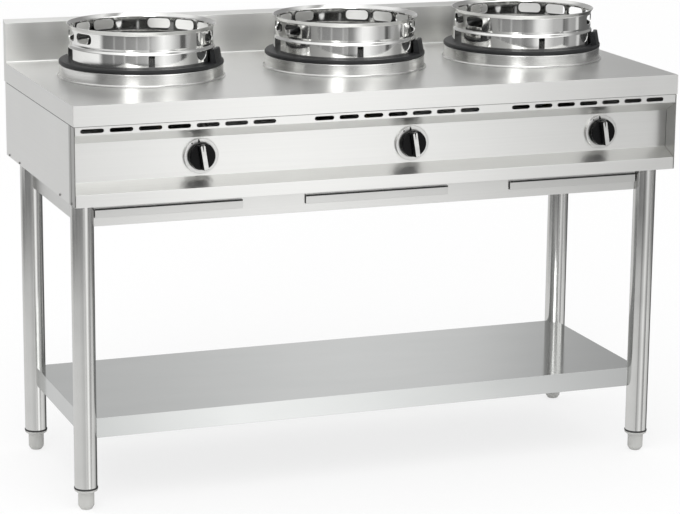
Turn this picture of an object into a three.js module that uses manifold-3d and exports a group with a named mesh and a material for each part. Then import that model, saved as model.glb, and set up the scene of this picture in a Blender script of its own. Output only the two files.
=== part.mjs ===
// Three-burner gas wok range of folded stainless steel: a worktop with an upstand, a recessed
// control panel, three raised burner wells with lift-off rings, drip trays under the body and an
// undershelf between four round legs on screw feet.
// Millimetres, +Z up, +X to the right and -Y to the front; the origin is on the floor, in the middle.

import * as THREE from 'three';
import * as BufferGeometryUtils from 'three/addons/utils/BufferGeometryUtils.js';
import Module from 'manifold-3d';

const wasm = await Module();
wasm.setup();

// Overall sizes; the width follows from the places of the burner stations
const rangeDepth = 630;
const worktopHeight = 900;
const sheet = 1.5;
const seatGap = 0.3;

// Worktop
const apronHeight = 44;
const upstandHeight = 98;
const upstandDepth = 18;
const upstandFall = 7;
const wellHoleClearance = 0.8;

// Burner stations from left to right, in one line
const leftRoom = 249;
const leftPitch = 482;
const rightPitch = 443;
const rightRoom = 226;
const burnerSetBack = 42;
const collarRadius = 182;
const collarHeight = 29;
const collarFootWidth = 5;
const collarTopWidth = 32;
const collarBend = 2.5;
const wellDepth = 140;

// Body: the front is a folded fascia with a vent strip over a recessed control panel
const tuckHeight = 20;
const ventStripHeight = 19;
const recessDepth = 42;
const upperBandDrop = 24;
const ledgeDrop = 18;
const lipHeight = 27;
const lipFlange = 20;
const endCapOverlap = 3;
const legSeatMargin = 3;
const rearFlangeWidth = 20;
const cornerRelief = 4;
const backPanelInset = 20;
const backFlangeWidth = 20;

// Vent slots, in three groups
const ventSlotsPerGroup = 7;
const ventSlotHeight = 9;
const ventSlotDrop = 0.7;
const ventSlotGap = 12;
const ventPitches = [63, 56.5, 55];
const ventFromLeft = 15;
const ventFromRight = 34;
const middleVentShift = -8;

// Cast-iron ring with the short raised guard on its right
const castThickness = 8;
const castInnerWidth = 22;
const castEdge = 3;
const castOverhang = 1;
const castLipDepth = 12;
const castLipWidth = 9;
const castLipClearance = 1;
const guardHeight = 30;
const guardFootWidth = 15;
const guardTopWidth = 9;
const guardLean = 6;
const guardFrom = -41;
const guardTo = -26;

// Wok ring
const wokRingClearance = 3.5;
const wokRingHeight = 80;
const wokRingSheet = 2;
const lowerBandHeight = 30;
const waistDepth = 3.5;
const waistHeight = 11;
const upperBandInset = 3;
const rimFlare = 5.5;
const rimHeight = 7;
const wokSlotsPerSide = 5;
const wokSlotPitch = 23.8;
const wokSlotWidth = 19;
const wokSlotHeight = 22;
const wokSlotCorner = 8;
const wokSlotAxis = 83;
const wokHoleRadius = 20;
const wokHolePlaces = [-51.5, 128.5];
const wokHoleWeb = 1;
const wokNotches = [
  { place: 180, width: 40, web: 1, corner: 10 },
  { place: -98, width: 14, web: 2, corner: 3.5 },
];

// Knobs, set off to the right of their burners
const knobShifts = [39, 41, 57];
const bezelRadius = 38.5;
const bezelThickness = 6;
const bezelEdge = 2;
const bezelRoomAbove = 2;
const bezelRoomBelow = 5;
const panelHoleClearance = 3.3;
const knobRadius = 29;
const knobDiscDepth = 8;
const knobEdge = 2;
const gripDepth = 14;
const gripWidth = 15;
const gripFrontWidth = 9;
const gripInset = 1;
const gripTilt = 9;
const knobPush = 3;
const knobFreeGap = 0.8;
const spindleRadius = 4.7;
const spindleClearance = 0.3;
const spindleInKnob = 5;
const spindleInValve = 18;

// Gas train behind the panel
const valveWidth = 32;
const valveHeight = 36;
const valveDepth = 45;
const valveStubRadius = 9;
const manifoldRadius = 13.5;
const manifoldGap = 4.5;
const inletRadius = 10.65;
const inletFromSide = 40;
const inletBend = 30;
const inletCoupling = 8;
const inletHoleClearance = 1;
const inletRearGap = 3;
const gasPipeRadius = 5;
const gasPipeRun = 20;
const gasPipeBend = 12;
const injectorGap = 5;

// Burners
const mixerHeight = 36;
const mixerRadius = 16;
const mixerMouthRadius = 22;
const mixerMouthLength = 20;
const mixerBoreRadius = 12;
const mixerBoreDepth = 60;
const mixerFromValve = 45;
const burnerFootRadius = 30;
const burnerFootThickness = 6;
const burnerStemRadius = 20;
const burnerHeadRadius = 62;
const burnerHeadHeight = 57;
const burnerHeadRim = 20;
const burnerTopDrop = 78;
const burnerPorts = 12;
const burnerPortWidth = 5;
const burnerPortLength = 31;
const burnerPortDepth = 8;

// Base plate
const spillLength = 250;
const spillDepth = 92;
const bridgeMargin = 2;

// Legs, feet and rails
const legRadius = 25;
const legWall = 1.5;
const legFromSide = 35.4;
const legFromFront = 76.6;
const legFromRear = 96.9;
const insertHeight = 25;
const insertProud = 1.3;
const insertRingHeight = 3.2;
const footHeight = 46.5;
const footRadius = 17.6;
const footFlareProud = 0.6;
const footFlareHeight = 8.5;
const footRimHeight = 2;
const footRound = 10;
const footRoundInset = 5.6;
const footShoulder = 3.3;
const footShoulderInset = 1.4;
const stemRadius = 5;
const stemClearance = 0.6;
const footTravel = 25;
const railHeight = 58;
const railFlange = 20;

// Drip trays: the outer two reach to the legs
const trayWall = 1.2;
const leftTrayEnd = 143;
const middleTrayStart = -194;
const middleTrayEnd = 142;
const rightTrayStart = -150;
const trayLegGap = 2;
const trayFaceOverlap = 8;
const trayFaceHeight = 20;
const trayFaceDrop = 19;
const trayFaceDepth = 5;
const trayRearRoom = 30;
const trayPlay = 0.6;
const runnerHeight = 16;
const runnerFlange = 14;

// Undershelf
const shelfTop = 201;
const shelfRim = 44;
const shelfReturn = 12;
const stiffenerWidth = 60;
const stiffenerDepth = 25;
const stiffenerFlange = 15;

// Facets of round pieces
const wideSteps = 36;
const midSteps = 20;
const fineSteps = 12;
const pipeSides = 8;
const slotEndSteps = 4;
const inletSteps = 24;
const gasPipeSteps = 12;
const cutOver = 1;

// Places worked out from the sizes
const rangeWidth = leftRoom + leftPitch + rightPitch + rightRoom;
const halfWidth = rangeWidth / 2;
const frontY = -rangeDepth / 2;
const rearY = rangeDepth / 2;
const stations = [
  { x: -halfWidth + leftRoom, y: burnerSetBack },
  { x: -halfWidth + leftRoom + leftPitch, y: burnerSetBack },
  { x: halfWidth - rightRoom, y: burnerSetBack },
];
const knobXs = stations.map((station, i) => station.x + knobShifts[i]);
const fasciaY = frontY + sheet + seatGap;
const panelY = fasciaY + recessDepth;
const sideX = halfWidth - sheet - seatGap;
const insideX = sideX - sheet - seatGap;
const backY = rearY - backPanelInset;
const panelHeight = bezelRoomBelow + 2 * bezelRadius + bezelRoomAbove;
const apronFoot = worktopHeight - apronHeight;
const tuckTop = apronFoot + tuckHeight;
const ventFoot = apronFoot - ventStripHeight;
const panelTop = ventFoot - upperBandDrop;
const panelFoot = panelTop - panelHeight;
const lipTop = panelFoot - ledgeDrop;
const bodyFoot = lipTop - lipHeight;
const baseTop = bodyFoot + 2 * sheet + seatGap;
const knobZ = panelFoot + bezelRoomBelow + bezelRadius;
const wellRadius = collarRadius - collarTopWidth;
const collarTop = worktopHeight + collarHeight;
const castRadius = collarRadius + castOverhang;
const castFoot = collarTop + seatGap;
const castTop = castFoot + castThickness;
const guardRadius = castRadius - castEdge / 2;
const valveFront = panelY + sheet + seatGap;
const valveRear = valveFront + valveDepth;
const manifoldY = valveFront + valveDepth / 2;
const manifoldZ = knobZ - valveHeight / 2 - manifoldGap - manifoldRadius;
const manifoldEnd = insideX - inletFromSide - inletBend - inletCoupling;
const inletX = insideX - inletFromSide;
const mixerMouthY = valveRear + mixerFromValve;
const mixerZ = baseTop + mixerHeight;
const legX = halfWidth - legFromSide;
const legFrontY = frontY + legFromFront;
const legRearY = rearY - legFromRear;
const railTop = bodyFoot - seatGap;
const railFoot = bodyFoot - railHeight;
const tubeFoot = footHeight + seatGap + insertRingHeight;
const trayTop = bodyFoot - trayFaceDrop;
const trayFoot = trayTop - trayFaceHeight;
const trays = [
  [-legX + legRadius + trayLegGap, stations[0].x + leftTrayEnd],
  [stations[1].x + middleTrayStart, stations[1].x + middleTrayEnd],
  [stations[2].x + rightTrayStart, legX - legRadius - trayLegGap],
];

const steel = { colour: 0xc9cac8, roughness: 0.35, metalness: 1 };
const polished = { colour: 0xdadada, roughness: 0.08, metalness: 1 };
const castIron = { colour: 0x3a3a3b, roughness: 0.75, metalness: 0.4 };
const brass = { colour: 0xb99a4e, roughness: 0.4, metalness: 1 };
const blackPlastic = { colour: 0x121213, roughness: 0.35, metalness: 0 };
const greyPlastic = { colour: 0xb9bab6, roughness: 0.45, metalness: 0 };

const range = new THREE.Group();

// A closed three.js geometry as a solid that can be cut and joined.
function toSolid(geometry) {
  const bare = geometry.clone();
  bare.deleteAttribute('normal');
  bare.deleteAttribute('uv');
  const merged = BufferGeometryUtils.mergeVertices(bare, 1e-4);
  const corners = merged.index.array;
  const kept = [];
  for (let i = 0; i < corners.length; i += 3) {
    const [a, b, c] = [corners[i], corners[i + 1], corners[i + 2]];
    if (a !== b && b !== c && c !== a) kept.push(a, b, c);
  }
  return new wasm.Manifold(new wasm.Mesh({
    numProp: 3,
    vertProperties: merged.attributes.position.array,
    triVerts: new Uint32Array(kept),
  }));
}

function cutFrom(solid, cutters) {
  return cutters.reduce((rest, cutter) => rest.subtract(cutter), solid);
}

// Adds a solid to the range as a named mesh.
function addPiece(name, solid, finish) {
  const mesh = solid.getMesh();
  const geometry = new THREE.BufferGeometry();
  geometry.setAttribute('position', new THREE.BufferAttribute(new Float32Array(mesh.vertProperties), 3));
  geometry.setIndex(new THREE.BufferAttribute(new Uint32Array(mesh.triVerts), 1));
  geometry.computeVertexNormals();
  const material = new THREE.MeshStandardMaterial({
    color: finish.colour,
    roughness: finish.roughness,
    metalness: finish.metalness,
  });
  const piece = new THREE.Mesh(geometry, material);
  piece.name = name;
  range.add(piece);
}

function block([x0, x1], [y0, y1], [z0, z1]) {
  const geometry = new THREE.BoxGeometry(x1 - x0, y1 - y0, z1 - z0);
  return toSolid(geometry.translate((x0 + x1) / 2, (y0 + y1) / 2, (z0 + z1) / 2));
}

// Turns a closed outline of [radius, height] points about the upright axis through (x, y).
function turned(outline, steps, x = 0, y = 0) {
  const points = outline.map(([radius, height]) => new THREE.Vector2(radius, height));
  if (THREE.ShapeUtils.area(points) < 0) points.reverse();
  const geometry = new THREE.LatheGeometry([...points, points[0].clone()], steps);
  return toSolid(geometry.rotateX(Math.PI / 2).translate(x, y, 0));
}

// The same about an axis along Y: an outline of [radius, y] points, with y growing to the rear.
function turnedAlongY(outline, steps, x, z) {
  const points = outline.map(([radius, y]) => new THREE.Vector2(radius, y));
  if (THREE.ShapeUtils.area(points) < 0) points.reverse();
  const geometry = new THREE.LatheGeometry([...points, points[0].clone()], steps);
  return toSolid(geometry.translate(x, 0, z));
}

function uprightRod(radius, [z0, z1], steps, x, y) {
  return turned([[0, z0], [radius, z0], [radius, z1], [0, z1]], steps, x, y);
}

function rodAlongY(radius, [y0, y1], steps, x, z) {
  return turnedAlongY([[0, y0], [radius, y0], [radius, y1], [0, y1]], steps, x, z);
}

// Extrudes an outline of [y, z] points along X.
function extrudedAlongX(outline, [x0, x1]) {
  const shape = new THREE.Shape(outline.map(([y, z]) => new THREE.Vector2(y, z)));
  const geometry = new THREE.ExtrudeGeometry(shape, { depth: x1 - x0, bevelEnabled: false });
  const turn = new THREE.Matrix4().makeBasis(
    new THREE.Vector3(0, 1, 0),
    new THREE.Vector3(0, 0, 1),
    new THREE.Vector3(1, 0, 0),
  );
  return toSolid(geometry.applyMatrix4(turn).translate(x0, 0, 0));
}

// Extrudes an outline of [x, z] points along Y.
function extrudedAlongY(outline, [y0, y1]) {
  const shape = new THREE.Shape(outline.map(([x, z]) => new THREE.Vector2(x, z)));
  const geometry = new THREE.ExtrudeGeometry(shape, { depth: y1 - y0, bevelEnabled: false });
  return toSolid(geometry.rotateX(Math.PI / 2).translate(0, y1, 0));
}

// The outline of a folded sheet: its outer face runs through the points, its wall lies on the left.
function foldedSection(points, wall) {
  const inner = points.map(([y, z], i) => {
    const before = points[Math.max(i - 1, 0)];
    const after = points[Math.min(i + 1, points.length - 1)];
    const into = new THREE.Vector2(y - before[0], z - before[1]).normalize();
    const out = new THREE.Vector2(after[0] - y, after[1] - z).normalize();
    const first = into.lengthSq() > 0 ? into : out;
    const second = out.lengthSq() > 0 ? out : into;
    const left = new THREE.Vector2(-first.y - second.y, first.x + second.x).normalize();
    const reach = wall / (left.x * -first.y + left.y * first.x);
    return [y + left.x * reach, z + left.y * reach];
  });
  return [...points, ...inner.reverse()];
}

// A cutter along Y for a slot with round ends about (x, z).
function slotCutter(x, z, length, height, run) {
  const radius = height / 2;
  const reach = length / 2 - radius;
  const half = Array.from({ length: slotEndSteps + 1 }, (_, i) => {
    const angle = Math.PI * (i / slotEndSteps - 0.5);
    return [reach + Math.cos(angle) * radius, Math.sin(angle) * radius];
  });
  const outline = [...half, ...half.map(([across, up]) => [-across, -up])];
  return extrudedAlongY(outline.map(([across, up]) => [x + across, z + up]), run);
}

// A round rod along X.
function rodAlongX(radius, [x0, x1], steps, y, z) {
  const outline = Array.from({ length: steps }, (_, i) => {
    const angle = (i / steps) * Math.PI * 2;
    return [y + Math.cos(angle) * radius, z + Math.sin(angle) * radius];
  });
  return extrudedAlongX(outline, [x0, x1]);
}

// A round pipe through the corners, with a bend of the same reach at each corner between its ends.
function bentPipe(corners, bend, radius, steps) {
  const points = corners.map((corner) => new THREE.Vector3(...corner));
  const path = new THREE.CurvePath();
  let start = points[0];
  for (let i = 1; i < points.length - 1; i += 1) {
    const before = points[i].clone().lerp(start, bend / points[i].distanceTo(start));
    const after = points[i].clone().lerp(points[i + 1], bend / points[i].distanceTo(points[i + 1]));
    path.add(new THREE.LineCurve3(start, before));
    path.add(new THREE.QuadraticBezierCurve3(before, points[i], after));
    start = after;
  }
  path.add(new THREE.LineCurve3(start, points[points.length - 1]));
  const ring = Array.from({ length: pipeSides }, (_, i) => {
    const angle = (i / pipeSides) * Math.PI * 2;
    return new THREE.Vector2(Math.cos(angle) * radius, Math.sin(angle) * radius);
  });
  return toSolid(new THREE.ExtrudeGeometry(new THREE.Shape(ring), { steps, extrudePath: path }));
}

// A wedge about the upright axis through (x, y), from one angle to another in degrees.
function wedge(x, y, fromAngle, toAngle, radius, [z0, z1]) {
  const rim = Array.from({ length: fineSteps + 1 }, (_, i) => {
    const angle = THREE.MathUtils.degToRad(fromAngle + (toAngle - fromAngle) * (i / fineSteps));
    return new THREE.Vector2(Math.cos(angle) * radius, Math.sin(angle) * radius);
  });
  const shape = new THREE.Shape([new THREE.Vector2(0, 0), ...rim]);
  const geometry = new THREE.ExtrudeGeometry(shape, { depth: z1 - z0, bevelEnabled: false });
  return toSolid(geometry.translate(x, y, z0));
}

// The two ends of a run in rising order.
function span(start, end) {
  return [Math.min(start, end), Math.max(start, end)];
}

// Worktop: one folded sheet with an apron on three sides and, along the rear, a boxed upstand
// whose top falls to the front.
function makeWorktop() {
  const upstandY = rearY - upstandDepth;
  const upstandTop = worktopHeight + upstandHeight;
  const upstandEdge = upstandTop - upstandFall;
  const fall = upstandFall / upstandDepth;
  const underTop = sheet * Math.hypot(1, fall);
  const outside = extrudedAlongX([
    [frontY, apronFoot],
    [frontY, worktopHeight],
    [upstandY, worktopHeight],
    [upstandY, upstandEdge],
    [rearY, upstandTop],
    [rearY, apronFoot],
  ], [-halfWidth, halfWidth]);
  const inside = extrudedAlongX([
    [frontY + sheet, apronFoot - cutOver],
    [frontY + sheet, worktopHeight - sheet],
    [upstandY + sheet, worktopHeight - sheet],
    [upstandY + sheet, upstandEdge + sheet * fall - underTop],
    [rearY - sheet, upstandTop - sheet * fall - underTop],
    [rearY - sheet, apronFoot - cutOver],
  ], [-halfWidth + sheet, halfWidth - sheet]);
  const holeRadius = wellRadius + sheet + wellHoleClearance;
  const holeZ = [worktopHeight - sheet - cutOver, worktopHeight + cutOver];
  const holes = stations.map(({ x, y }) => uprightRod(holeRadius, holeZ, wideSteps, x, y));
  addPiece('worktop', cutFrom(outside, [inside, ...holes]), steel);
}

// Raised collar and burner well: one turned sheet that stands on the worktop and hangs through it.
function makeCollar(label, { x, y }) {
  const foot = worktopHeight + seatGap;
  const footRadius = collarRadius + collarFootWidth;
  const outline = [
    [collarRadius - sheet, foot],
    [footRadius, foot],
    [footRadius, foot + sheet],
    [collarRadius, foot + sheet],
    [collarRadius, collarTop - collarBend],
    [collarRadius - collarBend, collarTop],
    [wellRadius, collarTop],
    [wellRadius, collarTop - wellDepth],
    [wellRadius + sheet, collarTop - wellDepth],
    [wellRadius + sheet, collarTop - sheet],
    [collarRadius - sheet, collarTop - sheet],
  ];
  addPiece(`collar_${label}`, turned(outline, wideSteps, x, y), steel);
}

// Cast-iron ring: a round-edged annulus with a locating lip, and a short guard raised on its right.
function makeCastRing(label, { x, y }) {
  const lipRadius = wellRadius - castLipClearance;
  const ring = turned([
    [wellRadius - castInnerWidth, castFoot],
    [lipRadius - castLipWidth, castFoot],
    [lipRadius - castLipWidth, castFoot - castLipDepth],
    [lipRadius, castFoot - castLipDepth],
    [lipRadius, castFoot],
    [castRadius - castEdge, castFoot],
    [castRadius, castFoot + castEdge],
    [castRadius, castTop - castEdge],
    [castRadius - castEdge, castTop],
    [wellRadius - castInnerWidth, castTop],
  ], wideSteps, x, y);
  const guardTop = castTop + guardHeight;
  const guardRoot = castTop - castThickness / 2;
  const guardBand = turned([
    [guardRadius - guardFootWidth, guardRoot],
    [guardRadius, guardRoot],
    [guardRadius - guardLean, guardTop - castEdge],
    [guardRadius - guardLean - castEdge, guardTop],
    [guardRadius - guardLean - guardTopWidth, guardTop],
  ], wideSteps, x, y);
  const sector = wedge(x, y, guardFrom, guardTo, 2 * castRadius, [castFoot, guardTop + cutOver]);
  addPiece(`cast_ring_${label}`, ring.add(guardBand.intersect(sector)), castIron);
}

// A cutter outward from the axis through (x, y) at an angle, from an outline of [across, z] points.
function wallCutter(outline, angle, reach, x, y) {
  const shape = new THREE.Shape(outline.map(([across, z]) => new THREE.Vector2(across, z)));
  const geometry = new THREE.ExtrudeGeometry(shape, { depth: reach, bevelEnabled: false });
  geometry.rotateX(Math.PI / 2).translate(0, reach, 0);
  geometry.rotateZ(THREE.MathUtils.degToRad(angle - 90));
  return toSolid(geometry.translate(x, y, 0));
}

// An upright outline with chamfered corners, centred across.
function chamferedOutline(width, z0, z1, corner) {
  const half = width / 2;
  return [
    [-half + corner, z0], [half - corner, z0], [half, z0 + corner], [half, z1 - corner],
    [half - corner, z1], [-half + corner, z1], [-half, z1 - corner], [-half, z0 + corner],
  ];
}

// Wok ring: a spun sheet ring in two tiers with a flared rim, slots above and air holes below.
function makeWokRing(label, { x, y }) {
  const bandRadius = guardRadius - guardFootWidth - wokRingClearance;
  const waistRadius = bandRadius - waistDepth;
  const upperRadius = bandRadius - upperBandInset;
  const rimRadius = upperRadius + rimFlare;
  const foot = castTop + seatGap;
  const waistFoot = foot + lowerBandHeight;
  const waistMiddle = waistFoot + waistHeight / 2;
  const waistTop = waistFoot + waistHeight;
  const rimTop = foot + wokRingHeight;
  const bandTop = rimTop - rimHeight;
  const shell = turned([
    [bandRadius, foot],
    [bandRadius, waistFoot],
    [waistRadius, waistMiddle],
    [upperRadius, waistTop],
    [upperRadius, bandTop],
    [rimRadius, rimTop - wokRingSheet / 2],
    [rimRadius - wokRingSheet / 2, rimTop],
    [upperRadius - wokRingSheet, bandTop + wokRingSheet],
    [upperRadius - wokRingSheet, waistTop],
    [waistRadius - wokRingSheet, waistMiddle],
    [bandRadius - wokRingSheet, waistFoot],
    [bandRadius - wokRingSheet, foot],
  ], wideSteps, x, y);

  const reach = 2 * bandRadius;
  const slotMiddle = (waistTop + bandTop) / 2;
  const slotOutline = chamferedOutline(
    THREE.MathUtils.degToRad(wokSlotWidth) * upperRadius,
    slotMiddle - wokSlotHeight / 2,
    slotMiddle + wokSlotHeight / 2,
    wokSlotCorner,
  );
  const cutters = [];
  for (const side of [-1, 1]) {
    for (let i = 1; i <= wokSlotsPerSide; i += 1) {
      cutters.push(wallCutter(slotOutline, wokSlotAxis + side * wokSlotPitch * i, reach, x, y));
    }
  }
  const holeTop = waistFoot - wokHoleWeb;
  const holeOutline = Array.from({ length: fineSteps / 2 + 1 }, (_, i) => {
    const angle = Math.PI * (1 + i / (fineSteps / 2));
    return [Math.cos(angle) * wokHoleRadius, holeTop + Math.sin(angle) * wokHoleRadius];
  });
  for (const place of wokHolePlaces) {
    cutters.push(wallCutter(holeOutline, place, reach, x, y));
  }
  for (const { place, width, web, corner } of wokNotches) {
    const outline = chamferedOutline(width, foot - width, waistFoot - web, corner);
    cutters.push(wallCutter(outline, place, reach, x, y));
  }
  addPiece(`wok_ring_${label}`, cutFrom(shell, cutters), polished);
}

// Burner: a casting with a foot, an upright stem, a side mixer tube and a crown with flame ports.
function makeBurner(label, { x, y }) {
  const foot = baseTop + seatGap;
  const top = collarTop - burnerTopDrop;
  const headFoot = top - burnerHeadHeight;
  const stem = turned([
    [0, foot],
    [burnerFootRadius, foot],
    [burnerFootRadius, foot + burnerFootThickness],
    [burnerStemRadius, foot + burnerFootThickness],
    [burnerStemRadius, headFoot],
    [burnerHeadRadius, top - burnerHeadRim],
    [burnerHeadRadius, top - burnerPortDepth / 2],
    [burnerHeadRadius - burnerPortDepth, top],
    [0, top],
  ], midSteps, x, y);
  const mixer = turnedAlongY([
    [0, mixerMouthY],
    [mixerMouthRadius, mixerMouthY],
    [mixerMouthRadius, mixerMouthY + mixerMouthLength / 2],
    [mixerRadius, mixerMouthY + mixerMouthLength],
    [mixerRadius, y],
    [0, y],
  ], fineSteps, x, mixerZ);
  const boreY = [mixerMouthY - cutOver, mixerMouthY + mixerBoreDepth];
  const bore = rodAlongY(mixerBoreRadius, boreY, fineSteps, x, mixerZ);
  const ports = Array.from({ length: burnerPorts }, (_, i) => {
    const port = new THREE.BoxGeometry(burnerPortLength, burnerPortWidth, burnerPortDepth);
    port.translate(burnerHeadRadius, 0, top).rotateZ((i / burnerPorts) * Math.PI * 2);
    return toSolid(port.translate(x, y, 0));
  });
  addPiece(`burner_${label}`, cutFrom(stem.add(mixer), [bore, ...ports]), castIron);
}

// Middles of the vent slots of one group, given the middle of the group.
function slotMiddles(middle, pitch) {
  const first = middle - ((ventSlotsPerGroup - 1) / 2) * pitch;
  return Array.from({ length: ventSlotsPerGroup }, (_, i) => first + i * pitch);
}

// Fascia: one folded sheet from behind the apron to the flange under the lip.
function makeFascia() {
  const section = foldedSection([
    [fasciaY, tuckTop],
    [fasciaY, ventFoot],
    [panelY, panelTop],
    [panelY, panelFoot],
    [fasciaY, lipTop],
    [fasciaY, bodyFoot],
    [fasciaY + lipFlange, bodyFoot],
  ], sheet);
  const halfGroups = ventPitches.map((pitch) => (ventSlotsPerGroup * pitch - ventSlotGap) / 2);
  const groupMiddles = [
    -halfWidth + ventFromLeft + halfGroups[0],
    stations[1].x + middleVentShift,
    halfWidth - ventFromRight - halfGroups[2],
  ];
  const slotZ = (apronFoot + ventFoot) / 2 - ventSlotDrop;
  const slotY = [fasciaY - cutOver, fasciaY + sheet + cutOver];
  const slots = ventPitches.flatMap((pitch, i) => slotMiddles(groupMiddles[i], pitch).map(
    (x) => slotCutter(x, slotZ, pitch - ventSlotGap, ventSlotHeight, slotY),
  ));
  const holeRadius = spindleRadius + panelHoleClearance;
  const holeY = [panelY - cutOver, panelY + sheet + cutOver];
  const holes = knobXs.map((x) => rodAlongY(holeRadius, holeY, fineSteps, x, knobZ));
  const body = extrudedAlongX(section, [-insideX, insideX]);
  addPiece('fascia', cutFrom(body, [...slots, ...holes]), steel);
}

// End cap and side panel on one side; side is -1 on the left and 1 on the right.
function makeSide(label, side) {
  const plateX = span(side * sideX, side * (sideX - sheet));
  const capRear = panelY + sheet + endCapOverlap;
  addPiece(`end_cap_${label}`, block(plateX, [fasciaY, capRear], [bodyFoot, tuckTop]), steel);

  const panelFront = capRear + seatGap;
  const panelRear = rearY - sheet - seatGap;
  const flangeX = halfWidth - legFromSide - legRadius - legSeatMargin;
  const outside = block(span(side * sideX, side * flangeX), [panelFront, panelRear], [bodyFoot, tuckTop]);
  const inside = block(
    span(side * (sideX - sheet), side * (flangeX - cutOver)),
    [panelFront - cutOver, panelRear - sheet],
    [bodyFoot + sheet, tuckTop + cutOver],
  );
  const relief = block(
    span(side * (sideX - rearFlangeWidth), side * (flangeX - cutOver)),
    [panelRear - cornerRelief, panelRear + cutOver],
    [bodyFoot - cutOver, tuckTop + cutOver],
  );
  addPiece(`side_panel_${label}`, cutFrom(outside, [inside, relief]), steel);
}

// Back panel, set in under the upstand, with the hole for the gas inlet.
function makeBackPanel() {
  const footX = halfWidth - legFromSide - legRadius - legSeatMargin - seatGap;
  const footTop = bodyFoot + sheet + seatGap;
  const section = foldedSection([
    [backY - backFlangeWidth, bodyFoot],
    [backY, bodyFoot],
    [backY, worktopHeight - sheet - seatGap],
  ], sheet);
  const corners = [-1, 1].map((side) => block(
    span(side * footX, side * halfWidth),
    [backY - backFlangeWidth - cutOver, backY + cutOver],
    [bodyFoot - cutOver, footTop],
  ));
  const holeY = [backY - sheet - cutOver, backY + cutOver];
  const hole = rodAlongY(inletRadius + inletHoleClearance, holeY, fineSteps, inletX, manifoldZ);
  const panel = extrudedAlongX(section, [-insideX, insideX]);
  addPiece('back_panel', cutFrom(panel, [...corners, hole]), steel);
}

// Base plate: the floor of the body, with two spill openings and a bridge under each burner.
function makeBasePlate() {
  const plate = block(
    [-insideX, insideX],
    [fasciaY + sheet + seatGap, backY - sheet - seatGap],
    [baseTop - sheet, baseTop],
  );
  const halfBridge = burnerFootRadius + bridgeMargin;
  const cutZ = [baseTop - sheet - cutOver, baseTop + cutOver];
  const spills = stations.flatMap(({ x, y }) => [-1, 1].map((side) => block(
    [x - spillLength / 2, x + spillLength / 2],
    span(y + side * halfBridge, y + side * (halfBridge + spillDepth)),
    cutZ,
  )));
  addPiece('base_plate', cutFrom(plate, spills), steel);
}

// Bezel on the panel, valve behind it, and the spindle that carries the knob.
function makeControl(label, x) {
  const holeRadius = spindleRadius + panelHoleClearance;
  const bezelRear = panelY - seatGap;
  const bezelFront = bezelRear - bezelThickness;
  const bezel = turnedAlongY([
    [holeRadius, bezelFront],
    [bezelRadius - bezelEdge, bezelFront],
    [bezelRadius, bezelFront + bezelEdge],
    [bezelRadius, bezelRear],
    [holeRadius, bezelRear],
  ], midSteps, x, knobZ);
  addPiece(`bezel_${label}`, bezel, steel);

  const boreRadius = spindleRadius + spindleClearance;
  const body = block(
    [x - valveWidth / 2, x + valveWidth / 2],
    [valveFront, valveRear],
    [knobZ - valveHeight / 2, knobZ + valveHeight / 2],
  );
  const stub = uprightRod(valveStubRadius, [manifoldZ, knobZ], fineSteps, x, manifoldY);
  const pipeX = [x - valveStubRadius - cutOver, x + valveStubRadius + cutOver];
  const pipeRoom = rodAlongX(manifoldRadius + seatGap, pipeX, fineSteps, manifoldY, manifoldZ);
  const boreY = [valveFront - cutOver, valveFront + spindleInValve + knobPush + seatGap];
  const bore = rodAlongY(boreRadius, boreY, fineSteps, x, knobZ);
  addPiece(`valve_${label}`, cutFrom(body.add(stub), [pipeRoom, bore]), brass);

  const knobRear = bezelFront - knobPush - knobFreeGap;
  const spindleY = [knobRear - spindleInKnob, valveFront + spindleInValve];
  addPiece(`spindle_${label}`, rodAlongY(spindleRadius, spindleY, fineSteps, x, knobZ), steel);

  const discFront = knobRear - knobDiscDepth;
  const knobFront = discFront - gripDepth;
  const socketEnd = knobRear - spindleInKnob - seatGap;
  const disc = turnedAlongY([
    [boreRadius, knobRear],
    [knobRadius, knobRear],
    [knobRadius, discFront + knobEdge],
    [knobRadius - knobEdge, discFront],
    [0, discFront],
    [0, socketEnd],
    [boreRadius, socketEnd],
  ], midSteps, x, knobZ);
  const gripRoot = (discFront + socketEnd) / 2;
  const gripOutline = new THREE.Shape([
    new THREE.Vector2(-gripWidth / 2, gripRoot),
    new THREE.Vector2(-gripFrontWidth / 2, knobFront),
    new THREE.Vector2(gripFrontWidth / 2, knobFront),
    new THREE.Vector2(gripWidth / 2, gripRoot),
  ]);
  const gripRadius = knobRadius - gripInset;
  const bar = new THREE.ExtrudeGeometry(gripOutline, { depth: 2 * gripRadius, bevelEnabled: false });
  bar.translate(0, 0, -gripRadius).rotateY(THREE.MathUtils.degToRad(-gripTilt)).translate(x, 0, knobZ);
  const round = rodAlongY(gripRadius, [knobFront - cutOver, knobRear], midSteps, x, knobZ);
  addPiece(`knob_${label}`, disc.add(toSolid(bar).intersect(round)), blackPlastic);
}

// Manifold pipe along the back of the panel, and the inlet pipe from its right end to the rear.
function makeGasRail() {
  const manifold = rodAlongX(manifoldRadius, [-manifoldEnd, manifoldEnd], fineSteps, manifoldY, manifoldZ);
  addPiece('manifold', manifold, steel);

  const inlet = bentPipe([
    [manifoldEnd + seatGap, manifoldY, manifoldZ],
    [inletX, manifoldY, manifoldZ],
    [inletX, rearY - inletRearGap, manifoldZ],
  ], inletBend, inletRadius, inletSteps);
  addPiece('gas_inlet', inlet, steel);
}

// Supply pipe from the valve's rear down to the injector in front of the mixer.
function makeGasPipe(label, knobX, burnerX) {
  const dropY = valveRear + gasPipeRun;
  const pipe = bentPipe([
    [knobX, valveRear + seatGap, knobZ],
    [knobX, dropY, knobZ],
    [burnerX, dropY, mixerZ],
    [burnerX, mixerMouthY - injectorGap, mixerZ],
  ], gasPipeBend, gasPipeRadius, gasPipeSteps);
  addPiece(`gas_pipe_${label}`, pipe, brass);
}

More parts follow.
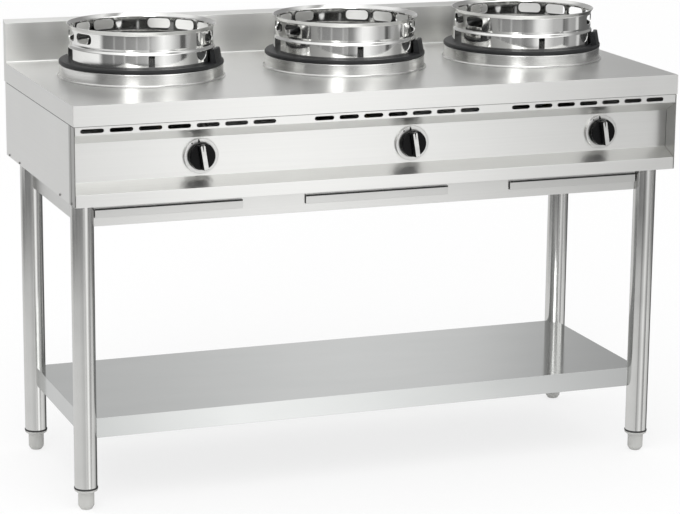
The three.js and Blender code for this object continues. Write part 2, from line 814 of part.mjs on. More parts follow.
// A leg tube with the threaded insert at its end, and the screw foot in it.
function makeLeg(label, x, y) {
  const bore = stemRadius + stemClearance;
  const ringRadius = legRadius + insertProud;
  const leg = turned([
    [bore, footHeight + seatGap],
    [ringRadius, footHeight + seatGap],
    [ringRadius, tubeFoot],
    [legRadius, tubeFoot],
    [legRadius, railTop],
    [legRadius - legWall, railTop],
    [legRadius - legWall, tubeFoot + insertHeight],
    [bore, tubeFoot + insertHeight],
  ], midSteps, x, y);
  addPiece(`leg_${label}`, leg, steel);

  const stemTop = tubeFoot + insertHeight + footTravel;
  const flareRadius = legRadius + footFlareProud;
  const foot = turned([
    [0, 0],
    [footRadius - footRoundInset, 0],
    [footRadius - footShoulderInset, footShoulder],
    [footRadius, footRound],
    [footRadius, footHeight - footFlareHeight],
    [flareRadius, footHeight - footRimHeight],
    [flareRadius, footHeight],
    [stemRadius, footHeight],
    [stemRadius, stemTop],
    [0, stemTop],
  ], midSteps, x, y);
  addPiece(`foot_${label}`, foot, greyPlastic);
}

// The C section of a rail: its face stands at one place, and its flanges reach inward from it.
function railSection(face, inward) {
  const points = [
    [face + inward * railFlange, railTop],
    [face, railTop],
    [face, railFoot],
    [face + inward * railFlange, railFoot],
  ];
  return foldedSection(inward > 0 ? points : points.reverse(), sheet);
}

// Rails between the legs, with their faces in the planes of the leg axes.
function makeRails() {
  const endX = legX - legRadius - seatGap;
  const doors = trays.map(([start, end]) => block(
    [start + trayFaceOverlap - trayPlay, end - trayFaceOverlap + trayPlay],
    [legFrontY - cutOver, legFrontY + sheet + cutOver],
    [trayFoot + trayWall, trayTop - trayPlay],
  ));
  const front = extrudedAlongX(railSection(legFrontY, 1), [-endX, endX]);
  addPiece('front_rail', cutFrom(front, doors), steel);
  addPiece('rear_rail', extrudedAlongX(railSection(legRearY, -1), [-endX, endX]), steel);

  const run = [legFrontY + legRadius + seatGap, legRearY - legRadius - seatGap];
  addPiece('left_rail', extrudedAlongY(railSection(-legX, 1), run), steel);
  addPiece('right_rail', extrudedAlongY(railSection(legX, -1), run), steel);
}

// Drip tray with a folded front, and the two runners that carry it.
function makeTray(label, [start, end]) {
  const faceRear = legFrontY - seatGap;
  const faceFront = faceRear - trayFaceDepth;
  const rear = legRearY - sheet - trayRearRoom;
  const panStart = faceFront + trayWall / 2;
  const left = start + trayFaceOverlap;
  const right = end - trayFaceOverlap;
  const panFoot = trayFoot + trayWall + trayPlay;
  const panTop = trayTop - trayWall - trayPlay;
  const face = extrudedAlongX(foldedSection([
    [faceRear, trayTop],
    [faceFront, trayTop],
    [faceFront, trayFoot],
    [faceRear, trayFoot],
  ], trayWall), [start, end]);
  const outside = block([left, right], [panStart, rear], [panFoot, panTop]);
  const inside = block(
    [left + trayWall, right - trayWall],
    [panStart - cutOver, rear - trayWall],
    [panFoot + trayWall, panTop + cutOver],
  );
  addPiece(`drip_tray_${label}`, outside.subtract(inside).add(face), steel);

  const run = [legFrontY + sheet + seatGap, legRearY - sheet - seatGap];
  const ledgeTop = panFoot - seatGap;
  const leftSection = [
    [left - trayPlay + runnerFlange, ledgeTop],
    [left - trayPlay, ledgeTop],
    [left - trayPlay, ledgeTop + runnerHeight],
  ];
  const rightSection = [
    [right + trayPlay, ledgeTop + runnerHeight],
    [right + trayPlay, ledgeTop],
    [right + trayPlay - runnerFlange, ledgeTop],
  ];
  const leftRunner = extrudedAlongY(foldedSection(leftSection, trayWall), run);
  const rightRunner = extrudedAlongY(foldedSection(rightSection, trayWall), run);
  addPiece(`tray_runner_${label}_left`, leftRunner, steel);
  addPiece(`tray_runner_${label}_right`, rightRunner, steel);
}

// Undershelf: a folded pan notched around the legs, with a hat-section stiffener under it.
function makeShelf() {
  const rimFoot = shelfTop - shelfRim;
  const outside = block([-legX, legX], [legFrontY, legRearY], [rimFoot, shelfTop]);
  const inside = extrudedAlongX([
    [legFrontY + shelfReturn, rimFoot - cutOver],
    [legFrontY + shelfReturn, rimFoot + sheet],
    [legFrontY + sheet, rimFoot + sheet],
    [legFrontY + sheet, shelfTop - sheet],
    [legRearY - sheet, shelfTop - sheet],
    [legRearY - sheet, rimFoot + sheet],
    [legRearY - shelfReturn, rimFoot + sheet],
    [legRearY - shelfReturn, rimFoot - cutOver],
  ], [-legX + sheet, legX - sheet]);
  const notchZ = [rimFoot - cutOver, shelfTop + cutOver];
  const notches = [-legX, legX].flatMap((x) => [legFrontY, legRearY].map(
    (y) => uprightRod(legRadius + seatGap, notchZ, midSteps, x, y),
  ));
  addPiece('undershelf', cutFrom(outside, [inside, ...notches]), steel);

  const top = shelfTop - sheet - seatGap;
  const middle = (legFrontY + legRearY) / 2;
  const hatY = stiffenerWidth / 2;
  const section = foldedSection([
    [middle + hatY + stiffenerFlange, top],
    [middle + hatY, top],
    [middle + hatY, top - stiffenerDepth],
    [middle - hatY, top - stiffenerDepth],
    [middle - hatY, top],
    [middle - hatY - stiffenerFlange, top],
  ], sheet);
  const endX = legX - sheet - seatGap;
  addPiece('shelf_stiffener', extrudedAlongX(section, [-endX, endX]), steel);
}

makeWorktop();
stations.forEach((station, i) => {
  makeCollar(i + 1, station);
  makeCastRing(i + 1, station);
  makeWokRing(i + 1, station);
  makeBurner(i + 1, station);
  makeControl(i + 1, knobXs[i]);
  makeGasPipe(i + 1, knobXs[i], station.x);
});
makeGasRail();
makeFascia();
makeSide('left', -1);
makeSide('right', 1);
makeBackPanel();
makeBasePlate();
makeRails();
trays.forEach((ends, i) => makeTray(i + 1, ends));
makeLeg('front_left', -legX, legFrontY);
makeLeg('front_right', legX, legFrontY);
makeLeg('rear_left', -legX, legRearY);
makeLeg('rear_right', legX, legRearY);
makeShelf();

export default range;
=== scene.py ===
import math

import bmesh
import bpy
from mathutils import Matrix, Vector


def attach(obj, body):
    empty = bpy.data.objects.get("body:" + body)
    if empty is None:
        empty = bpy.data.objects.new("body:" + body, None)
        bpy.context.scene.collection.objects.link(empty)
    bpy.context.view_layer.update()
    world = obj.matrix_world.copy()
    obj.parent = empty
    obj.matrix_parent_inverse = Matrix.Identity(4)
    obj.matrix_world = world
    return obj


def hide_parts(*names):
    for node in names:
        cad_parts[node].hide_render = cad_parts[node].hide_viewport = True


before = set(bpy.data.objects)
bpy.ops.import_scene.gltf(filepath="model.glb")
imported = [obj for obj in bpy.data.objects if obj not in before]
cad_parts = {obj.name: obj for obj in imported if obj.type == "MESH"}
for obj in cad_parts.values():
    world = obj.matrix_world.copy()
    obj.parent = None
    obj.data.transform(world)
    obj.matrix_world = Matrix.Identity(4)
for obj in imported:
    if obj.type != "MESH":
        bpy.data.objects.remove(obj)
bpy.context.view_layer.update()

# ---------------------------------------------------------------------------
# Camera: a long lens from the front left, a little above the worktop.
# Its place and angles come from a pinhole fit to measured points of the object.

LENS_MM = 133.69
CAMERA_PLACE = Vector((-1.979445, -5.324944, 1.790732))
CAMERA_YAW = math.radians(20.471)
CAMERA_PITCH = math.radians(13.186)
CAMERA_ROLL = math.radians(0.5)
SENSOR_MM = 36.0
NEAREST = 0.05
FARTHEST = 200.0

ahead = Vector((
    math.sin(CAMERA_YAW) * math.cos(CAMERA_PITCH),
    math.cos(CAMERA_YAW) * math.cos(CAMERA_PITCH),
    -math.sin(CAMERA_PITCH),
))
level_right = Vector((math.cos(CAMERA_YAW), -math.sin(CAMERA_YAW), 0.0))
level_up = level_right.cross(ahead)
camera_right = math.cos(CAMERA_ROLL) * level_right + math.sin(CAMERA_ROLL) * level_up
camera_up = math.cos(CAMERA_ROLL) * level_up - math.sin(CAMERA_ROLL) * level_right

camera = bpy.data.objects.new("camera", bpy.data.cameras.new("camera"))
camera.data.lens = LENS_MM
camera.data.sensor_width = SENSOR_MM
camera.data.clip_start = NEAREST
camera.data.clip_end = FARTHEST
facing = Matrix((camera_right, camera_up, -ahead)).transposed()
camera.matrix_world = Matrix.Translation(CAMERA_PLACE) @ facing.to_4x4()
bpy.context.scene.collection.objects.link(camera)
bpy.context.scene.camera = camera
bpy.context.scene.view_settings.view_transform = "Standard"

# ---------------------------------------------------------------------------
# Studio: a white floor with a soft shadow, and a room of white sweeps and dark
# gaps that the polished steel mirrors. The room has the same light from every
# side for dull surfaces, and it is plain white to the eye.


def set_inputs(tree, node, inputs):
    """Values or links for some inputs of a node."""
    for key, value in inputs.items():
        if isinstance(value, bpy.types.NodeSocket):
            tree.links.new(value, node.inputs[key])
        else:
            node.inputs[key].default_value = value


def add_node(tree, kind, inputs=None, **settings):
    """One shader node; settings are its properties, inputs its values or links."""
    node = tree.nodes.new(kind)
    for key, value in settings.items():
        setattr(node, key, value)
    set_inputs(tree, node, inputs or {})
    return node


def paint(hex_colour):
    """Linear colour of an sRGB hex string."""
    parts = [int(hex_colour[i:i + 2], 16) / 255 for i in (1, 3, 5)]
    line = [p / 12.92 if p <= 0.04045 else ((p + 0.055) / 1.055) ** 2.4 for p in parts]
    return (*line, 1.0)


def grey_ramp(tree, factor, stops):
    """A grey value that changes along the factor; stops are (degrees, grey)."""
    node = add_node(tree, "ShaderNodeValToRGB", {"Fac": factor})
    ramp = node.color_ramp
    while len(ramp.elements) < len(stops):
        ramp.elements.new(0.5)
    for element, (degrees, grey) in zip(ramp.elements, stops):
        element.position = degrees / 360
        element.color = (grey, grey, grey, 1)
    return node.outputs["Color"]


def fade(tree, value, low, high):
    """0 below low, 1 above high, smooth in between."""
    node = add_node(tree, "ShaderNodeMapRange", {
        "Value": value, "From Min": low, "From Max": high,
    }, interpolation_type="SMOOTHSTEP")
    return node.outputs["Result"]


def blend_grey(tree, factor, first, second):
    """First where the factor is 0, second where it is 1."""
    node = add_node(tree, "ShaderNodeMix", {0: factor, 6: first, 7: second}, data_type="RGBA")
    return node.outputs[2]


# Greys of the room by bearing in degrees, anticlockwise. 0 lies 20 degrees left of
# straight behind, so 180 is about what the front faces show the camera. There is one
# list each for rays that fall steeply, fall a little, run nearly level, climb a little
# and climb steeply.
ROOM_TURN = math.radians(70)
STEEP_ROOM = [(0, .80), (33, .86), (104, .84), (130, .74), (146, .70), (160, .90), (172, 1.42),
              (187, 1.44), (192, .95), (199, .66), (206, .80), (213, .98), (228, .90), (245, .80),
              (258, .62), (268, .20), (278, .08), (300, .12), (322, .70), (360, .80)]
SLOPING_ROOM = [(0, .80), (20, .70), (30, .40), (42, .02), (80, .08), (110, .10), (139, .10),
                (152, .22), (163, .55), (172, 1.16), (182, 1.24), (192, 1.12), (206, .80),
                (220, .41), (236, .16), (300, .14), (325, .60), (360, .80)]
LEVEL_ROOM = [(0, .80), (26, .95), (74, 1.10), (82, .22), (99, .28), (100.5, .62), (102, .30),
              (116, .33), (118, .62), (120, .34), (132, .40), (135, .42), (137, .66), (139, .44),
              (152, .52), (162, 1.10), (176, 1.24), (190, 1.12), (207, 1.05), (210, .22),
              (217, .25), (222, .48), (236, .42), (240, .80), (244, .80), (247, .20), (262, .15),
              (290, .15), (325, .60), (360, .80)]
RISING_ROOM = [(0, .50), (24, .42), (80, .34), (140, .80), (160, 1.00), (174, 1.60), (182, 2.60),
               (190, 2.60), (210, 1.60), (226, .50), (240, .32), (300, .34), (312, .42),
               (314.5, .55), (317, .80), (320, .85), (324, .68), (330, .55), (360, .50)]
TOP_ROOM = [(0, 1.10), (80, 1.10), (160, 2.20), (187, 2.20), (192, 1.30), (198, .85),
            (203, .48), (215, .60), (230, 1.10), (286, .12), (294, .20), (299, .50),
            (304, .46), (309, 1.15), (313, 1.10), (335, 1.20), (360, 1.10)]
# The height of a ray, from -1 straight down to 1 straight up, at which each list
# begins to take over from the one before, and at which it has done so.
ROOM_BANDS = ((-0.272, -0.234, SLOPING_ROOM), (-0.205, -0.180, LEVEL_ROOM),
              (0.02, 0.14, RISING_ROOM), (0.42, 0.70, TOP_ROOM))
LAMP_DIRECTION = Vector((-0.46, -0.80, 0.38)).normalized()
LAMP_RIM = 0.970
LAMP_CORE = 0.998
LAMP_LIGHT = 6.0
LEVEL_LIGHT = 0.95

world = bpy.data.worlds.new("room")
bpy.context.scene.world = world
world.use_nodes = True
tree = world.node_tree
tree.nodes.clear()
ray = add_node(tree, "ShaderNodeTexCoord").outputs["Generated"]
turned = add_node(tree, "ShaderNodeVectorRotate", {
    "Vector": ray, "Angle": ROOM_TURN,
}, rotation_type="Z_AXIS").outputs["Vector"]
parts = add_node(tree, "ShaderNodeSeparateXYZ", {"Vector": turned})
angle = add_node(tree, "ShaderNodeMath", {
    0: parts.outputs["Y"], 1: parts.outputs["X"],
}, operation="ARCTAN2").outputs[0]
bearing = add_node(tree, "ShaderNodeMapRange", {
    "Value": angle, "From Min": -math.pi, "From Max": math.pi,
}).outputs["Result"]
height = parts.outputs["Z"]
room = grey_ramp(tree, bearing, STEEP_ROOM)
for begins, done, greys in ROOM_BANDS:
    room = blend_grey(tree, fade(tree, height, begins, done), room, grey_ramp(tree, bearing, greys))
facing_lamp = add_node(tree, "ShaderNodeVectorMath", {
    0: ray, 1: tuple(LAMP_DIRECTION),
}, operation="DOT_PRODUCT").outputs["Value"]
lamp_spot = fade(tree, facing_lamp, LAMP_RIM, LAMP_CORE)
room = blend_grey(tree, lamp_spot, room, (LAMP_LIGHT,) * 3 + (1,))
path = add_node(tree, "ShaderNodeLightPath")
room = blend_grey(tree, path.outputs["Is Diffuse Ray"], room, (LEVEL_LIGHT,) * 3 + (1,))
seen = add_node(tree, "ShaderNodeMath", {
    0: path.outputs["Is Camera Ray"], 1: path.outputs["Is Transmission Ray"],
}, operation="MAXIMUM").outputs[0]
room = blend_grey(tree, seen, room, (1, 1, 1, 1))
background = add_node(tree, "ShaderNodeBackground", {"Color": room})
add_node(tree, "ShaderNodeOutputWorld", {"Surface": background.outputs[0]})


def bare_material(name):
    """A material with an empty node tree; returns both."""
    material = bpy.data.materials.new(name)
    material.use_nodes = True
    material.node_tree.nodes.clear()
    return material, material.node_tree


def staged_sheet(name, corners, material):
    """A flat sheet of the studio, through four corners in metres."""
    mesh = bpy.data.meshes.new(name)
    mesh.from_pydata(corners, [], [(0, 1, 2, 3)])
    mesh.materials.append(material)
    sheet = bpy.data.objects.new(name, mesh)
    bpy.context.scene.collection.objects.link(sheet)
    return sheet


# To the camera the floor is mostly a white glow, and its dull share keeps the soft
# shadow. The steel doesn't mirror it: the greys above stand for the floor as well.
FLOOR_HALF = 30.0
FLOOR_DROP = 0.0003
FLOOR_GLOW = 0.72
floor_paint, tree = bare_material("floor_paint")
dull = add_node(tree, "ShaderNodeBsdfDiffuse", {"Color": paint("#F9F9F9")})
glow = add_node(tree, "ShaderNodeEmission", {"Color": (1, 1, 1, 1)})
mixed = add_node(tree, "ShaderNodeMixShader", {0: FLOOR_GLOW, 1: dull.outputs[0], 2: glow.outputs[0]})
path = add_node(tree, "ShaderNodeLightPath")
chosen = add_node(tree, "ShaderNodeMixShader", {
    0: path.outputs["Is Camera Ray"], 1: dull.outputs[0], 2: mixed.outputs[0],
})
add_node(tree, "ShaderNodeOutputMaterial", {"Surface": chosen.outputs[0]})

floor = staged_sheet("floor", [
    (-FLOOR_HALF, -FLOOR_HALF, 0), (FLOOR_HALF, -FLOOR_HALF, 0),
    (FLOOR_HALF, FLOOR_HALF, 0), (-FLOOR_HALF, FLOOR_HALF, 0)], floor_paint)
floor.location.z = -FLOOR_DROP
floor.visible_glossy = False

# A grey scrim stands to the front right. The steel mirrors the room through it,
# so its front faces darken towards their right end. Tones are (x, grey).
SCRIM_Y = -2.3
SCRIM_FOOT = -1.2
SCRIM_TOP = 1.7
SCRIM_TONES = [(-0.6, .60), (-0.25, .66), (0.33, 1.0), (0.80, .92), (1.31, .69), (1.75, .52), (3.2, .52)]
SCRIM_LEFT = SCRIM_TONES[0][0]
SCRIM_RIGHT = SCRIM_TONES[-1][0]
scrim_cloth, tree = bare_material("scrim_cloth")
across = add_node(tree, "ShaderNodeSeparateXYZ", {
    "Vector": add_node(tree, "ShaderNodeTexCoord").outputs["Object"]}).outputs["X"]
share = add_node(tree, "ShaderNodeMapRange", {
    "Value": across, "From Min": SCRIM_LEFT, "From Max": SCRIM_RIGHT}).outputs["Result"]
tone = grey_ramp(tree, share, [
    ((x - SCRIM_LEFT) / (SCRIM_RIGHT - SCRIM_LEFT) * 360, grey) for x, grey in SCRIM_TONES])
cloth = add_node(tree, "ShaderNodeBsdfTransparent", {"Color": tone})
add_node(tree, "ShaderNodeOutputMaterial", {"Surface": cloth.outputs[0]})
scrim = staged_sheet("scrim", [
    (SCRIM_LEFT, SCRIM_Y, SCRIM_FOOT), (SCRIM_RIGHT, SCRIM_Y, SCRIM_FOOT),
    (SCRIM_RIGHT, SCRIM_Y, SCRIM_TOP), (SCRIM_LEFT, SCRIM_Y, SCRIM_TOP)], scrim_cloth)
scrim.visible_camera = False
scrim.visible_diffuse = False
scrim.visible_transmission = False

# A large soft lamp above the front left lights the dull pieces and casts the shadow.
SOFT_BOX_PLACE = Vector((-1.2, -1.9, 3.1))
SOFT_BOX_AIM = Vector((0, 0, 0.6))
SOFT_BOX_WIDE = 3.2
SOFT_BOX_DEEP = 2.4
SOFT_BOX_WATTS = 34
soft_box = bpy.data.objects.new("soft_box", bpy.data.lights.new("soft_box", "AREA"))
soft_box.data.shape = "RECTANGLE"
soft_box.data.size = SOFT_BOX_WIDE
soft_box.data.size_y = SOFT_BOX_DEEP
soft_box.data.energy = SOFT_BOX_WATTS
soft_box.location = SOFT_BOX_PLACE
soft_box.rotation_euler = (SOFT_BOX_AIM - SOFT_BOX_PLACE).to_track_quat("-Z", "Y").to_euler()
soft_box.visible_glossy = False
bpy.context.scene.collection.objects.link(soft_box)

# ---------------------------------------------------------------------------
# Worktop: stainless sheet brushed along its length, with the apron and the
# boxed upstand folded from it. The CAD sheet is kept; its folds get a small
# round, which draws the thin bright line along the front edge.

STEEL = "#DCDCDA"


def new_material(name):
    """A material with a Principled shader; returns it, its node tree and the shader."""
    material = bpy.data.materials.new(name)
    material.use_nodes = True
    tree = material.node_tree
    return material, tree, tree.nodes["Principled BSDF"]


def noise(tree, scale, detail=2.0, roughness=0.5, stretch=(1, 1, 1)):
    """Noise in metres of the object, stretched along an axis."""
    coordinates = add_node(tree, "ShaderNodeTexCoord").outputs["Object"]
    mapped = add_node(tree, "ShaderNodeMapping", {
        "Vector": coordinates, "Scale": stretch,
    }).outputs["Vector"]
    return add_node(tree, "ShaderNodeTexNoise", {
        "Vector": mapped, "Scale": scale, "Detail": detail, "Roughness": roughness,
    }).outputs["Fac"]


def between(tree, factor, low, high):
    """A value from low to high as the factor goes from 0.25 to 0.75."""
    return add_node(tree, "ShaderNodeMapRange", {
        "Value": factor, "From Min": 0.25, "From Max": 0.75, "To Min": low, "To Max": high,
    }).outputs["Result"]


def plus(tree, first, second):
    """The sum of two values."""
    return add_node(tree, "ShaderNodeMath", {0: first, 1: second}, operation="ADD").outputs[0]


def relief(tree, height, strength, depth):
    """A normal from a height; depth is in metres."""
    return add_node(tree, "ShaderNodeBump", {
        "Height": height, "Strength": strength, "Distance": depth,
    }).outputs[0]


def toned(colour, factor):
    """The colour made lighter or darker by a factor."""
    return tuple(factor * part for part in colour[:3]) + (1,)


GRAIN_ACROSS = 260.0
GRAIN_ALONG = 3.0


def brushed_sheet(name, grain_axis, hex_colour=STEEL, roughness=0.30, bend=0.6):
    """Stainless sheet with a straight brushed grain along one axis.

    The grain spreads each reflection across its lines. The real lines are 0.1 mm
    apart; here they are 4 mm apart, the finest that shows at this size.
    """
    material, tree, shader = new_material(name)
    grain = noise(tree, 1.0, detail=3.0, stretch=[
        GRAIN_ALONG if axis == grain_axis else GRAIN_ACROSS for axis in "XYZ"])
    smudge = noise(tree, 4.5, detail=3.0, roughness=0.55)
    tone = between(tree, grain, 0.985, 1.015)
    tinted = add_node(tree, "ShaderNodeMix", {
        0: 1.0, 6: paint(hex_colour), 7: add_node(tree, "ShaderNodeCombineXYZ", {
            0: tone, 1: tone, 2: tone}).outputs[0],
    }, data_type="RGBA", blend_type="MULTIPLY").outputs[2]
    rough = plus(tree, between(tree, grain, roughness - 0.005, roughness + 0.005),
                 between(tree, smudge, -0.03, 0.05))
    tangent = add_node(tree, "ShaderNodeCombineXYZ", {
        place: float(axis == grain_axis) for place, axis in enumerate("XYZ")})
    set_inputs(tree, shader, {
        "Base Color": tinted, "Metallic": 1.0, "Roughness": rough,
        "Normal": relief(tree, grain, 0.01, 0.0002),
        "Anisotropic": bend, "Anisotropic Rotation": 0.25, "Tangent": tangent.outputs[0],
    })
    return material


WELD_REACH = 0.00001
FOLD_ANGLE = math.radians(35)


def dress(material, *nodes, round_mm=0.5):
    """Gives CAD nodes a material and a small round on their folds and cut edges."""
    for name in nodes:
        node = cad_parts[name]
        node.data.materials.clear()
        node.data.materials.append(material)
        if round_mm:
            weld = node.modifiers.new("weld", "WELD")
            weld.merge_threshold = WELD_REACH
            bevel = node.modifiers.new("round", "BEVEL")
            bevel.width = round_mm / 1000
            bevel.segments = 2
            bevel.limit_method = "ANGLE"
            bevel.angle_limit = FOLD_ANGLE
            bevel.harden_normals = True


def new_piece(name, bm, material, smooth_deg=40):
    """An object from mesh data, smooth but for edges sharper than the angle."""
    mesh = bpy.data.meshes.new(name)
    bmesh.ops.recalc_face_normals(bm, faces=bm.faces)
    bm.to_mesh(mesh)
    bm.free()
    mesh.shade_smooth()
    mesh.set_sharp_from_angle(angle=math.radians(smooth_deg))
    piece = bpy.data.objects.new(name, mesh)
    bpy.context.scene.collection.objects.link(piece)
    mesh.materials.append(material)
    return piece


def loft(bm, rows):
    """Joins rows of points into a skin and closes its two ends."""
    for first, second in zip(rows, rows[1:]):
        for k in range(len(first)):
            n = (k + 1) % len(first)
            bm.faces.new((first[k], first[n], second[n], second[k]))
    bm.faces.new(rows[0])
    bm.faces.new(reversed(rows[-1]))


sheet_along_x = brushed_sheet("stainless_sheet_grain_x", "X")
sheet_along_y = brushed_sheet("stainless_sheet_grain_y", "Y")
dress(sheet_along_x, "worktop", round_mm=0.6)

# The fold between worktop and upstand has a wide round, which draws a bright line.
BODY_HALF_WIDTH = 0.6982
COVE_RADIUS = 0.0045
COVE_Y = 0.2972
COVE_Z = 0.8998
COVE_STEPS = 6
arc = [math.radians(-90 + 90 * k / COVE_STEPS) for k in range(COVE_STEPS + 1)]
section = [(COVE_Y, COVE_Z)] + [
    (COVE_Y - COVE_RADIUS * (1 - math.cos(a)), COVE_Z + COVE_RADIUS * (1 + math.sin(a)))
    for a in arc]
bm = bmesh.new()
loft(bm, [[bm.verts.new((x, y, z)) for y, z in section] for x in (-BODY_HALF_WIDTH, BODY_HALF_WIDTH)])
cove = new_piece("upstand_cove", bm, sheet_along_x)
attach(cove, "range_body")

# ---------------------------------------------------------------------------
# Body shell: fascia with vent slots and knob recess, end caps, side panels and
# back panel. Stainless sheet, screwed and spot-welded to the worktop.

dress(sheet_along_x, "fascia", "back_panel")
dress(sheet_along_y, "side_panel_left", "side_panel_right")
cap_sheet = brushed_sheet("end_cap_sheet_grain_z", "Z", hex_colour="#B2B2B0", roughness=0.34)
dress(cap_sheet, "end_cap_left", "end_cap_right")

# ---------------------------------------------------------------------------
# Joints, screws and painted shadow of the shell: a dark strip under the folded apron
# on each side and a grey one under the front apron, painted as the shadow of the gap
# below the apron; a grey seam where each side panel meets its end cap; and small screws
# along the lower edge of each side panel, whose heads narrow towards the sheet.

APRON_FOOT = 0.856
BODY_FOOT = 0.684
SHADOW_STRIP_HEIGHT = 0.0022
STRIP_PROUD = 0.0006
STRIP_DEPTH = 0.001
SIDE_SHADOW_STRIP_Y = (-0.312, 0.297)
FRONT_SHADOW_STRIP_Y = (-0.3138, -0.3120)
FRONT_SHADOW_STRIP_HEIGHT = 0.0012
# Place along y and width of each seam.
SEAMS = ((-0.2835, 0.0016), (-0.3126, 0.0012))
SCREW_Y = (0.284, 0.185, -0.185, -0.284)
SCREW_Z = 0.6885
SCREW_RADIUS = 0.0030
SCREW_NECK = 0.0021
SCREW_PROUD = 0.0015


def sealant_and_painted_shadow(name, hex_colour):
    """A strip with a slightly uneven, satin skin: silicone sealant in the real seams, painted shadow in the
    gap strips under the apron and along the trays.
    """
    material, tree, shader = new_material(name)
    skin = noise(tree, 400.0, detail=2.0)
    dirt = noise(tree, 30.0, detail=3.0)
    base = paint(hex_colour)
    set_inputs(tree, shader, {
        "Base Color": blend_grey(tree, dirt, base, toned(base, 1.5)),
        "Roughness": between(tree, skin, 0.40, 0.55), "IOR": 1.41,
        "Normal": relief(tree, skin, 0.1, 0.0002),
    })
    return material


def add_box(bm, *corners):
    """A plain box between two opposite corners, in metres."""
    low, high = ([pick(parts) for parts in zip(*corners)] for pick in (min, max))
    spots = [bm.verts.new((x, y, z)) for z in (low[2], high[2])
             for x, y in ((low[0], low[1]), (high[0], low[1]), (high[0], high[1]), (low[0], high[1]))]
    for k in range(4):
        n = (k + 1) % 4
        bm.faces.new((spots[k], spots[n], spots[4 + n], spots[4 + k]))
    bm.faces.new(spots[3::-1])
    bm.faces.new(spots[4:])


# The dark material is painted shadow for the gap under the side aprons. The grey one colours the real seams,
# and it is painted shadow under the front apron.
painted_gap_shadow = sealant_and_painted_shadow("painted_gap_shadow_dark", "#3C3C3B")
seam_grey_and_painted_shadow = sealant_and_painted_shadow("grey_seam_and_painted_shadow", "#6C6C6A")
screw_steel = brushed_sheet("screw_steel", "Z", hex_colour="#9C9C9A", roughness=0.35)
for side, sign in (("left", -1), ("right", 1)):
    inner = sign * (BODY_HALF_WIDTH - STRIP_DEPTH)
    outer = sign * (BODY_HALF_WIDTH + STRIP_PROUD)
    # A dark strip under the side apron, painted as the shadow in the gap below it.
    bm = bmesh.new()
    add_box(bm, (inner, SIDE_SHADOW_STRIP_Y[0], APRON_FOOT - SHADOW_STRIP_HEIGHT), (outer, SIDE_SHADOW_STRIP_Y[1], APRON_FOOT))
    shadow_strip = new_piece(f"apron_painted_shadow_{side}", bm, painted_gap_shadow)
    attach(shadow_strip, "range_body")
    bm = bmesh.new()
    for y, width in SEAMS:
        add_box(bm, (inner, y - width / 2, BODY_FOOT + STRIP_DEPTH),
                (outer, y + width / 2, APRON_FOOT - SHADOW_STRIP_HEIGHT))
    seam = new_piece(f"end_cap_seam_{side}", bm, seam_grey_and_painted_shadow)
    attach(seam, "range_body")
    bm = bmesh.new()
    radii_by_x = (SCREW_RADIUS, SCREW_NECK)[::-sign]
    for y in SCREW_Y:
        place = Matrix.Translation((sign * (BODY_HALF_WIDTH + SCREW_PROUD / 2), y, SCREW_Z))
        bmesh.ops.create_cone(
            bm, cap_ends=True, segments=24, matrix=place @ Matrix.Rotation(math.radians(90), 4, "Y"),
            depth=SCREW_PROUD, radius1=radii_by_x[0], radius2=radii_by_x[1])
    screws = new_piece(f"side_screws_{side}", bm, screw_steel)
    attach(screws, "range_body")
# A grey strip under the front apron, painted as the shadow in the gap below it.
bm = bmesh.new()
add_box(bm, (-BODY_HALF_WIDTH, FRONT_SHADOW_STRIP_Y[0], APRON_FOOT - FRONT_SHADOW_STRIP_HEIGHT),
        (BODY_HALF_WIDTH, FRONT_SHADOW_STRIP_Y[1], APRON_FOOT))
shadow_strip = new_piece("apron_painted_shadow_front", bm, seam_grey_and_painted_shadow)
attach(shadow_strip, "range_body")

# ---------------------------------------------------------------------------
# Inner sheet and gas train: galvanised base plate and runners, steel manifold
# and inlet, brass taps and pipes. They are fixed inside the body.


def galvanised_sheet(name):
    """Zinc-coated sheet: a dull grey with the faint cloudy crystals of the coat."""
    material, tree, shader = new_material(name)
    cloud = noise(tree, 60.0, detail=2.0)
    coordinates = add_node(tree, "ShaderNodeTexCoord").outputs["Object"]
    crystals = add_node(tree, "ShaderNodeTexVoronoi", {
        "Vector": coordinates, "Scale": 90.0,
    }).outputs["Color"]
    shade = add_node(tree, "ShaderNodeSeparateColor", {"Color": crystals}).outputs["Red"]
    tinted = blend_grey(tree, between(tree, shade, 0.0, 1.0), paint("#A9ABAD"), paint("#BDBFC1"))
    set_inputs(tree, shader, {
        "Base Color": tinted, "Metallic": 1.0, "Roughness": between(tree, cloud, 0.42, 0.55),
    })
    return material


def cast_brass(name):
    """Brass taps and pipes, dulled by handling."""
    material, tree, shader = new_material(name)
    stain = noise(tree, 90.0, detail=4.0)
    set_inputs(tree, shader, {
        "Base Color": blend_grey(tree, stain, paint("#C9A75A"), paint("#A98A45")),
        "Metallic": 1.0, "Roughness": between(tree, stain, 0.28, 0.42),
    })
    return material


zinc = galvanised_sheet("galvanised_sheet")
brass = cast_brass("satin_brass")
dress(zinc, "base_plate", "manifold", "gas_inlet", round_mm=0)
for number in (1, 2, 3):
    dress(zinc, f"tray_runner_{number}_left", f"tray_runner_{number}_right", round_mm=0)
    dress(brass, f"valve_{number}", f"gas_pipe_{number}", round_mm=0)
for name in ("manifold", "gas_inlet", "gas_pipe_1", "gas_pipe_2", "gas_pipe_3"):
    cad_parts[name].data.shade_smooth()

# ---------------------------------------------------------------------------
# Collars and wells: spun stainless, welded into the worktop, with a round
# shoulder, a foot flange and the burner well below. The spun lines run round
# the wall and draw each lamp out into an upright streak.

# Middles of the three wok places in metres. Outlines are in millimetres from here on:
# distance from the axis, place along it, and the radius of the corner.
STATIONS = [(-0.451, 0.042), (0.031, 0.042), (0.474, 0.042)]


